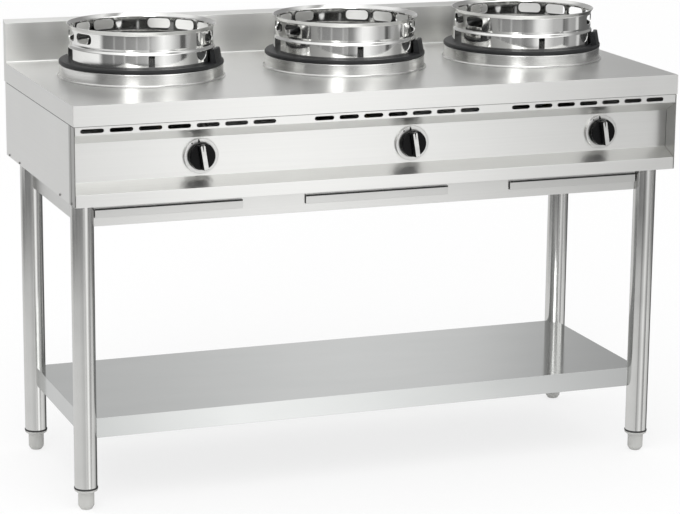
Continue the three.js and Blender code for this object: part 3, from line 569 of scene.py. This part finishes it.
def rounded(corners, steps=5):
    """A closed outline of (across, up, radius) corners, each eased by a short curve."""
    points = []
    count = len(corners)
    for i, (x, y, radius) in enumerate(corners):
        here = Vector((x, y))
        if not radius:
            points.append(here)
            continue
        before = Vector(corners[i - 1][:2]) - here
        after = Vector(corners[(i + 1) % count][:2]) - here
        half = before.angle(after) / 2
        reach = min(radius / math.tan(half), 0.49 * before.length, 0.49 * after.length)
        start = here + before.normalized() * reach
        end = here + after.normalized() * reach
        for k in range(steps + 1):
            t = k / steps
            points.append((1 - t) ** 2 * start + 2 * t * (1 - t) * here + t ** 2 * end)
    return points


def turned_mesh(bm, outline, centre, steps=192, along_y=False):
    """Spins a closed outline of (radius, height) in mm about an upright or front axis."""
    rings = []
    for radius, up in outline:
        if abs(radius) < 1e-6:
            spots = [(0.0, 0.0, up)]
        else:
            spots = [(radius * math.cos(2 * math.pi * k / steps),
                      radius * math.sin(2 * math.pi * k / steps), up) for k in range(steps)]
        if along_y:
            spots = [(x, z, y) for x, y, z in spots]
        rings.append([bm.verts.new(Vector(centre) + Vector(s) / 1000) for s in spots])
    for i, ring in enumerate(rings):
        other = rings[(i + 1) % len(rings)]
        for k in range(steps):
            n = (k + 1) % steps
            if len(ring) == 1 and len(other) == 1:
                break
            if len(ring) == 1:
                bm.faces.new((ring[0], other[n], other[k]))
            elif len(other) == 1:
                bm.faces.new((ring[k], ring[n], other[0]))
            else:
                bm.faces.new((ring[k], ring[n], other[n], other[k]))
    return rings


def spun_steel(name, hex_colour, roughness, lines, bend):
    """Steel spun or turned on a lathe: fine rings round the axis."""
    material, tree, shader = new_material(name)
    rings = noise(tree, 1.0, detail=2.0, stretch=(8.0, 8.0, lines))
    smudge = noise(tree, 14.0, detail=3.0)
    rough = plus(tree, between(tree, rings, roughness - 0.03, roughness + 0.03),
                 between(tree, smudge, -0.015, 0.03))
    tangent = add_node(tree, "ShaderNodeTangent", direction_type="RADIAL", axis="Z")
    set_inputs(tree, shader, {
        "Base Color": blend_grey(tree, rings, paint(hex_colour), paint("#C4C4C2")),
        "Metallic": 1.0, "Roughness": rough, "Normal": relief(tree, rings, 0.06, 0.0003),
        "Anisotropic": bend, "Anisotropic Rotation": 0.25, "Tangent": tangent.outputs[0],
    })
    return material


collar_steel = spun_steel("spun_stainless", STEEL, 0.22, 420.0, 0.55)
COLLAR_OUTLINE = rounded([
    (187.0, 900.3, 0), (187.0, 901.6, 0.6), (184.0, 902.0, 1.5), (182.0, 904.5, 2.5),
    (182.0, 929.0, 3.2), (150.0, 929.0, 2.6), (150.0, 789.0, 0.5), (151.5, 789.0, 0.5),
    (151.5, 927.0, 1.5), (180.4, 927.0, 1.5), (180.4, 900.3, 0),
])
for number, (x, y) in enumerate(STATIONS, 1):
    bm = bmesh.new()
    turned_mesh(bm, COLLAR_OUTLINE, (x, y, 0), steps=224)
    collar = new_piece(f"collar_skin_{number}", bm, collar_steel)
    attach(collar, "range_body")
    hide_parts(f"collar_{number}")

# ---------------------------------------------------------------------------
# Burners: cast iron heads in the wells, greyed by heat. The CAD solids are kept,
# since little of them shows between the rings.


def cast_iron(name, hex_colour, grain_mm, sheen):
    """Sand-cast iron: near black, with the pimpled skin that the mould leaves."""
    material, tree, shader = new_material(name)
    skin = noise(tree, 1000.0 / grain_mm, detail=4.0, roughness=0.65)
    patch = noise(tree, 18.0, detail=3.0)
    dark = paint(hex_colour)
    set_inputs(tree, shader, {
        "Base Color": blend_grey(tree, patch, dark, toned(dark, 1.6)),
        "Roughness": between(tree, skin, sheen, sheen + 0.16),
        "Normal": relief(tree, skin, 0.5, 0.0006),
        "Specular IOR Level": 0.35,
    })
    return material


iron = cast_iron("sand_cast_iron", "#141516", 2.2, 0.38)
burner_iron = cast_iron("heat_greyed_cast_iron", "#45464A", 2.2, 0.45)
dress(burner_iron, "burner_1", "burner_2", "burner_3", round_mm=0)

# ---------------------------------------------------------------------------
# Cast-iron rings: loose rings that lie on the collars, with a lip down into
# the well and a raised guard on their right, all with the soft edges of a
# casting.

CAST_STEPS = 224
GUARD_FROM = -41.0
GUARD_TO = -26.0
GUARD_TOP = 967.3
GUARD_ROOT = 935.5
GUARD_STEPS = 18
CAST_OUTLINE = rounded([
    (183.0, 929.3, 1.0), (183.0, 934.6, 2.0), (180.2, 937.3, 1.5), (128.0, 937.3, 1.5),
    (128.0, 931.5, 1.5), (140.0, 929.3, 1.0), (140.0, 917.3, 1.5), (149.0, 917.3, 1.5),
    (149.0, 929.3, 0.8),
])
GUARD_OUTLINE = rounded([
    (181.5, GUARD_ROOT, 0), (175.5, GUARD_TOP, 3.0), (166.5, GUARD_TOP, 3.0), (166.5, GUARD_ROOT, 0),
])


def swept_mesh(bm, outline, centre, low_deg, high_deg, steps):
    """An outline of (radius, height) carried round part of a circle, closed at both ends."""
    rows = []
    for k in range(steps + 1):
        angle = math.radians(low_deg + (high_deg - low_deg) * k / steps)
        rows.append([bm.verts.new(Vector(centre) + Vector((
            r * math.cos(angle), r * math.sin(angle), z)) / 1000) for r, z in outline])
    loft(bm, rows)


for number, (x, y) in enumerate(STATIONS, 1):
    bm = bmesh.new()
    turned_mesh(bm, CAST_OUTLINE, (x, y, 0), steps=CAST_STEPS)
    swept_mesh(bm, GUARD_OUTLINE, (x, y, 0), GUARD_FROM, GUARD_TO, GUARD_STEPS)
    ring = new_piece(f"cast_ring_skin_{number}", bm, iron, smooth_deg=45)
    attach(ring, f"cast_ring_{number}")
    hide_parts(f"cast_ring_{number}")

# ---------------------------------------------------------------------------
# Wok rings: mirror-polished stainless in two tiers with a waist between them
# and a flared rim. Ten slots in the upper tier, two D-shaped holes and two
# notches in the lower one. They stand loose on the cast-iron rings.

WOK_OUTLINE = rounded([
    (163.0, 937.6, 0.4), (163.0, 967.6, 3.5), (159.5, 973.1, 4.0), (160.0, 978.6, 3.5),
    (160.0, 1009.6, 5.0), (165.2, 1017.2, 0.5), (164.4, 1017.6, 0.5), (163.4, 1017.4, 0.5),
    (158.0, 1009.9, 5.0), (158.0, 979.0, 3.0), (157.5, 973.1, 3.5), (161.0, 967.0, 3.5),
    (161.0, 937.6, 0.4),
], steps=6)
# Bearings are in degrees, anticlockwise from the right. The slots lie in two runs of
# five on both sides of a plain stretch of wall.
SLOTLESS_BEARING = 83
SLOT_PITCH = 23.8
SLOTS_PER_SIDE = 5
SLOT_MIDDLES = [SLOTLESS_BEARING + side * SLOT_PITCH * k
                for side in (1, -1) for k in range(1, SLOTS_PER_SIDE + 1)]
TIER_RADIUS = 160.0
SLOT_WIDTH_DEG = 19.0
SLOT_HEIGHT = 22.0
SLOT_MIDDLE_Z = 994.6
SLOT_CORNER = 10.5
HOLE_PLACES = (-51.5, 128.5)
HOLE_RADIUS = 20.0
HOLE_TOP = 966.6
# Bearing, width and top of each notch.
NOTCHES = ((180.0, 40.0, 966.6), (-98.0, 14.0, 965.6))
NOTCH_FOOT = 930.0
CUT_NEAR = 140.0
CUT_FAR = 172.0
SHARP_DEG = 32


def polished_steel(name):
    """Buffed stainless: a clean mirror with hairline wipe marks and a few haze spots."""
    material, tree, shader = new_material(name)
    wipes = noise(tree, 1.0, detail=2.0, stretch=(60.0, 60.0, 500.0))
    haze = noise(tree, 22.0, detail=4.0)
    rough = plus(tree, between(tree, wipes, 0.045, 0.075), between(tree, haze, 0.0, 0.03))
    set_inputs(tree, shader, {
        "Base Color": blend_grey(tree, haze, paint("#E6E6E4"), paint(STEEL)),
        "Metallic": 1.0, "Roughness": rough, "Normal": relief(tree, haze, 0.03, 0.0005),
    })
    return material


def add_plug(bm, centre, bearing_deg, outline):
    """A straight cutter through one wall, with an outline of (across, height) in mm."""
    out = Vector((math.cos(math.radians(bearing_deg)), math.sin(math.radians(bearing_deg)), 0))
    side = Vector((-out.y, out.x, 0))
    rows = [[bm.verts.new(Vector(centre) + (out * r + side * a + Vector((0, 0, z))) / 1000)
             for a, z in outline] for r in (CUT_NEAR, CUT_FAR)]
    bm.faces.new(rows[0])
    bm.faces.new(reversed(rows[1]))
    for k in range(len(outline)):
        n = (k + 1) % len(outline)
        bm.faces.new((rows[0][k], rows[1][k], rows[1][n], rows[0][n]))


def cut_away(piece, cutter_bm):
    """Takes the cutter's bodies out of the piece and drops the cutter."""
    mesh = bpy.data.meshes.new("cutter")
    bmesh.ops.recalc_face_normals(cutter_bm, faces=cutter_bm.faces)
    cutter_bm.to_mesh(mesh)
    cutter_bm.free()
    cutter = bpy.data.objects.new("cutter", mesh)
    bpy.context.scene.collection.objects.link(cutter)
    cut = piece.modifiers.new("cut", "BOOLEAN")
    cut.operation = "DIFFERENCE"
    cut.solver = "EXACT"
    cut.object = cutter
    bpy.context.view_layer.update()
    graph = bpy.context.evaluated_depsgraph_get()
    result = bpy.data.meshes.new_from_object(piece.evaluated_get(graph))
    old = piece.data
    piece.modifiers.clear()
    piece.data = result
    bpy.data.meshes.remove(old)
    bpy.data.objects.remove(cutter)
    bpy.data.meshes.remove(mesh)


mirror = polished_steel("mirror_polished_stainless")
half_slot = TIER_RADIUS * math.sin(math.radians(SLOT_WIDTH_DEG / 2))
slot_outline = rounded([
    (side * half_slot, SLOT_MIDDLE_Z + level * SLOT_HEIGHT / 2, SLOT_CORNER)
    for side, level in ((-1, -1), (1, -1), (1, 1), (-1, 1))], steps=8)
hole_outline = [(HOLE_RADIUS * math.cos(math.radians(a)), HOLE_TOP + HOLE_RADIUS * math.sin(math.radians(a)))
                for a in range(180, 361, 9)]
for number, (x, y) in enumerate(STATIONS, 1):
    bm = bmesh.new()
    turned_mesh(bm, WOK_OUTLINE, (x, y, 0), steps=256)
    wok = new_piece(f"wok_ring_skin_{number}", bm, mirror, smooth_deg=SHARP_DEG)
    cutter = bmesh.new()
    for bearing_deg in SLOT_MIDDLES:
        add_plug(cutter, (x, y, 0), bearing_deg, slot_outline)
    for bearing_deg in HOLE_PLACES:
        add_plug(cutter, (x, y, 0), bearing_deg, hole_outline)
    for bearing_deg, width, top in NOTCHES:
        outline = rounded([(-width / 2, NOTCH_FOOT, 0), (width / 2, NOTCH_FOOT, 0),
                           (width / 2, top, 2.0), (-width / 2, top, 2.0)])
        add_plug(cutter, (x, y, 0), bearing_deg, outline)
    cut_away(wok, cutter)
    wok.data.shade_smooth()
    wok.data.set_sharp_from_angle(angle=math.radians(SHARP_DEG))
    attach(wok, f"wok_ring_{number}")
    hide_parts(f"wok_ring_{number}")

# ---------------------------------------------------------------------------
# Knobs: gloss black moulded discs with a wide grip bar, a silver strip on the
# bar, a satin steel bezel round them and a plain dot and tick for the off place.

KNOB_X = (-0.412, 0.072, 0.531)
KNOB_Z = 0.7725
# Here the place along the axis is y, which falls towards the front.
BEZEL_OUTLINE = rounded([
    (38.5, -271.6, 0), (38.5, -276.6, 0.8), (37.6, -277.5, 0.6), (30.4, -277.5, 0.4),
    (29.6, -276.4, 0.4), (8.0, -276.4, 0.4), (8.0, -271.6, 0),
])
DISC_OUTLINE = rounded([
    (0.0, -281.3, 0), (27.5, -281.3, 0.6), (28.6, -282.3, 0.8), (29.0, -287.0, 1.4),
    (26.6, -289.3, 1.8), (0.0, -289.3, 0),
])
GRIP_TILT = math.radians(9)
GRIP_HALF = 28.0
GRIP_ROOT = 8.5
GRIP_FACE = 5.3
GRIP_BACK = -287.5
GRIP_FRONT = -302.7
GRIP_EASE = 0.6
GRIP_END_DEG = 70
GRIP_END_STEPS = 8
STRIP_FRONT = -303.3
STRIP_BACK = GRIP_FRONT + 0.2
# The silver strip has a thin black pointer cut into its upper end.
STRIP_OUTLINE = [
    (-4.9, 25.0), (-4.9, -25.0), (-3.9, -26.2), (3.9, -26.2), (4.9, -25.0), (4.9, 25.0),
    (3.9, 26.2), (1.5, 26.6), (0.3, 13.0), (-0.3, 13.0), (-1.5, 26.6), (-3.9, 26.2)]
# Bearing, distance from the knob's middle and radius of each round of the printed marks:
# a dot by itself, and three in a row that draw a tick.
MARKS = ((126.0, 34.6, 1.8), (99.0, 35.6, 1.5), (99.0, 33.2, 2.0), (99.0, 31.4, 2.4))
MARK_BACK = -277.3
MARK_FRONT = -277.7


def gloss_plastic(name, hex_colour, roughness):
    """Moulded plastic: a smooth skin with a trace of flow and fine handling marks."""
    material, tree, shader = new_material(name)
    marks = noise(tree, 320.0, detail=3.0)
    flow = noise(tree, 40.0, detail=2.0)
    base = paint(hex_colour)
    set_inputs(tree, shader, {
        "Base Color": blend_grey(tree, flow, base, toned(base, 1.25)),
        "Roughness": between(tree, marks, roughness, roughness + 0.08), "IOR": 1.5,
        "Specular IOR Level": 0.12, "Normal": relief(tree, marks, 0.04, 0.0002),
    })
    return material


def leaned(x, across, up, y):
    """A point of the grip in metres: the grip's top leans to the left."""
    turned_across = across * math.cos(GRIP_TILT) - up * math.sin(GRIP_TILT)
    turned_up = across * math.sin(GRIP_TILT) + up * math.cos(GRIP_TILT)
    return x + turned_across / 1000, y / 1000, KNOB_Z + turned_up / 1000


def grip_mesh(bm, x):
    """The bar across the knob: wider at its root, with round ends and eased edges."""
    layers = [
        (GRIP_BACK, GRIP_ROOT, GRIP_HALF),
        (GRIP_FRONT + GRIP_EASE, GRIP_FACE + 0.15, GRIP_HALF - 1.0),
        (GRIP_FRONT, GRIP_FACE - GRIP_EASE, GRIP_HALF - 1.0 - GRIP_EASE),
    ]
    rows = []
    for y, wide, long in layers:
        row = []
        for sign in (1, -1):
            for k in range(GRIP_END_STEPS + 1):
                a = math.radians(GRIP_END_DEG * (2 * k / GRIP_END_STEPS - 1))
                across = wide * math.sin(a) / math.sin(math.radians(GRIP_END_DEG))
                up = math.sqrt(max(long ** 2 - across ** 2, 0.0))
                row.append(bm.verts.new(leaned(x, sign * across, sign * up, y)))
        rows.append(row)
    loft(bm, rows)


knob_black = gloss_plastic("gloss_black_plastic", "#060607", 0.22)
strip_silver = spun_steel("silver_foil_strip", "#ECECEA", 0.30, 60.0, 0.0)
bezel_steel = spun_steel("satin_bezel_steel", "#DADAD8", 0.30, 300.0, 0.3)
mark_black = gloss_plastic("printed_black_mark", "#1A1A1A", 0.5)
for number, x in enumerate(KNOB_X, 1):
    bm = bmesh.new()
    turned_mesh(bm, BEZEL_OUTLINE, (x, 0, KNOB_Z), steps=96, along_y=True)
    bezel = new_piece(f"bezel_skin_{number}", bm, bezel_steel)
    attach(bezel, "range_body")
    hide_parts(f"bezel_{number}")

    bm = bmesh.new()
    for bearing_deg, radius, size in MARKS:
        mark_x = x + radius * math.cos(math.radians(bearing_deg)) / 1000
        mark_z = KNOB_Z + radius * math.sin(math.radians(bearing_deg)) / 1000
        turned_mesh(bm, [(0.0, MARK_BACK), (size, MARK_BACK), (size, MARK_FRONT), (0.0, MARK_FRONT)],
                    (mark_x, 0, mark_z), steps=20, along_y=True)
    marks = new_piece(f"bezel_marks_{number}", bm, mark_black)
    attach(marks, "range_body")

    bm = bmesh.new()
    turned_mesh(bm, DISC_OUTLINE, (x, 0, KNOB_Z), steps=96, along_y=True)
    grip_mesh(bm, x)
    knob = new_piece(f"knob_skin_{number}", bm, knob_black)
    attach(knob, f"knob_{number}")
    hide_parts(f"knob_{number}")

    bm = bmesh.new()
    loft(bm, [[bm.verts.new(leaned(x, a, z, y)) for a, z in STRIP_OUTLINE]
              for y in (STRIP_BACK, STRIP_FRONT)])
    strip = new_piece(f"knob_strip_{number}", bm, strip_silver)
    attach(strip, f"knob_{number}")
dress(bezel_steel, "spindle_1", "spindle_2", "spindle_3", round_mm=0)

# ---------------------------------------------------------------------------
# Rails and drip trays: folded stainless skirts between the legs, and three
# trays that slide in under the body.

RAIL_STEEL = "#D2D2D0"
rail_along_x = brushed_sheet("rail_sheet_grain_x", "X", hex_colour=RAIL_STEEL)
rail_along_y = brushed_sheet("rail_sheet_grain_y", "Y", hex_colour=RAIL_STEEL)
tray_sheet = brushed_sheet("tray_sheet_grain_x", "X", hex_colour="#C9C9C7", roughness=0.34)
dress(rail_along_x, "front_rail", "rear_rail")
dress(rail_along_y, "left_rail", "right_rail")
dress(tray_sheet, "drip_tray_1", "drip_tray_2", "drip_tray_3")

# A black strip along the top of each tray front is painted shadow of the gap under the body.
# Fronts are (left, right).
TRAY_FRONTS = ((-0.6376, -0.308), (-0.163, 0.173), (0.324, 0.6376))
TRAY_FACE = -0.2437
TRAY_TOP = 0.665
TRAY_SHADOW_FOOT = TRAY_TOP - 0.0034
TRAY_SHADOW_HEAD = TRAY_TOP - 0.0002
TRAY_SHADOW_PROUD = 0.0009
TRAY_SHADOW_SUNK = 0.0005
# Black painted shadow for the gap between the body and each tray.
painted_tray_gap_shadow = sealant_and_painted_shadow("painted_tray_gap_shadow_black", "#1C1C1C")
for number, (left, right) in enumerate(TRAY_FRONTS, 1):
    bm = bmesh.new()
    add_box(bm, (left + TRAY_SHADOW_SUNK, TRAY_FACE - TRAY_SHADOW_PROUD, TRAY_SHADOW_FOOT),
            (right - TRAY_SHADOW_SUNK, TRAY_FACE + TRAY_SHADOW_SUNK, TRAY_SHADOW_HEAD))
    gap_shadow = new_piece(f"tray_gap_shadow_{number}", bm, painted_tray_gap_shadow)
    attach(gap_shadow, f"drip_tray_{number}")

# ---------------------------------------------------------------------------
# Legs and feet: polished round tubes with a black plastic insert ring at the
# foot and a light grey bullet foot that screws in.

LEG_X = 0.6646
FRONT_LEG_Y = -0.2384
REAR_LEG_Y = 0.2181
LEG_PLACES = {
    "front_left": (-LEG_X, FRONT_LEG_Y), "front_right": (LEG_X, FRONT_LEG_Y),
    "rear_left": (-LEG_X, REAR_LEG_Y), "rear_right": (LEG_X, REAR_LEG_Y),
}
LEG_FOOT = 50.0
LEG_TOP = 683.7
LEG_OUTLINE = rounded([
    (25.0, LEG_FOOT, 0.5), (25.0, LEG_TOP, 0), (23.6, LEG_TOP, 0), (23.6, LEG_FOOT, 0.3),
])
INSERT_OUTLINE = rounded([
    (26.3, 46.8, 0.8), (26.3, LEG_FOOT, 0.8), (23.5, LEG_FOOT, 0), (23.5, 60.0, 0), (20.0, 60.0, 0),
    (20.0, 46.8, 0),
])
FOOT_OUTLINE = rounded([
    (0.0, 46.5, 0), (25.6, 46.5, 0.8), (25.6, 43.0, 1.5), (21.0, 39.5, 2.5), (17.6, 38.0, 1.5),
    (17.6, 8.0, 7.0), (12.0, 0.0, 3.0), (0.0, 0.0, 0),
])


def polished_tube(name):
    """Drawn stainless tube, polished: near a mirror, a little drawn out along its length."""
    material, tree, shader = new_material(name)
    draw = noise(tree, 1.0, detail=2.0, stretch=(300.0, 300.0, 4.0))
    haze = noise(tree, 16.0, detail=3.0)
    rough = plus(tree, between(tree, draw, 0.12, 0.16), between(tree, haze, 0.0, 0.03))
    set_inputs(tree, shader, {
        "Base Color": blend_grey(tree, haze, paint(STEEL), paint("#D0D0CE")),
        "Metallic": 1.0, "Roughness": rough, "Normal": relief(tree, draw, 0.03, 0.0003),
    })
    return material


def matt_plastic(name, hex_colour):
    """Moulded matt plastic with a fine grained skin."""
    material, tree, shader = new_material(name)
    grain = noise(tree, 900.0, detail=3.0)
    scuff = noise(tree, 60.0, detail=4.0)
    base = paint(hex_colour)
    set_inputs(tree, shader, {
        "Base Color": blend_grey(tree, scuff, base, toned(base, 0.9)),
        "Roughness": between(tree, grain, 0.42, 0.55), "IOR": 1.5,
        "Normal": relief(tree, grain, 0.12, 0.0002),
    })
    return material


tube_steel = polished_tube("polished_tube")
insert_black = matt_plastic("black_insert_plastic", "#2A2A2A")
foot_grey = matt_plastic("light_grey_foot_plastic", "#BEBEBB")
for place, (x, y) in LEG_PLACES.items():
    bm = bmesh.new()
    turned_mesh(bm, LEG_OUTLINE, (x, y, 0), steps=64)
    leg = new_piece(f"leg_tube_{place}", bm, tube_steel)
    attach(leg, "range_body")
    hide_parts(f"leg_{place}")
    bm = bmesh.new()
    turned_mesh(bm, INSERT_OUTLINE, (x, y, 0), steps=64)
    insert = new_piece(f"leg_insert_{place}", bm, insert_black)
    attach(insert, "range_body")
    bm = bmesh.new()
    turned_mesh(bm, FOOT_OUTLINE, (x, y, 0), steps=64)
    foot = new_piece(f"foot_skin_{place}", bm, foot_grey)
    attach(foot, f"foot_{place}")
    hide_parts(f"foot_{place}")

# ---------------------------------------------------------------------------
# Undershelf: bright-annealed sheet, nearly a mirror, with its folded rim, and a
# zinc stiffener below.


def bright_sheet(name):
    """Bright-annealed stainless: mirrors the legs, with the soft waves of thin sheet."""
    material, tree, shader = new_material(name)
    wave = noise(tree, 3.0, detail=2.0)
    haze = noise(tree, 9.0, detail=3.0, stretch=(0.4, 1, 1))
    set_inputs(tree, shader, {
        "Base Color": blend_grey(tree, haze, paint("#D0D1D0"), paint("#C6C8C7")),
        "Metallic": 1.0, "Roughness": between(tree, haze, 0.07, 0.11),
        "Normal": relief(tree, wave, 0.04, 0.002),
    })
    return material


shelf_bright = bright_sheet("bright_annealed_sheet")
dress(shelf_bright, "undershelf")
dress(zinc, "shelf_stiffener", round_mm=0)
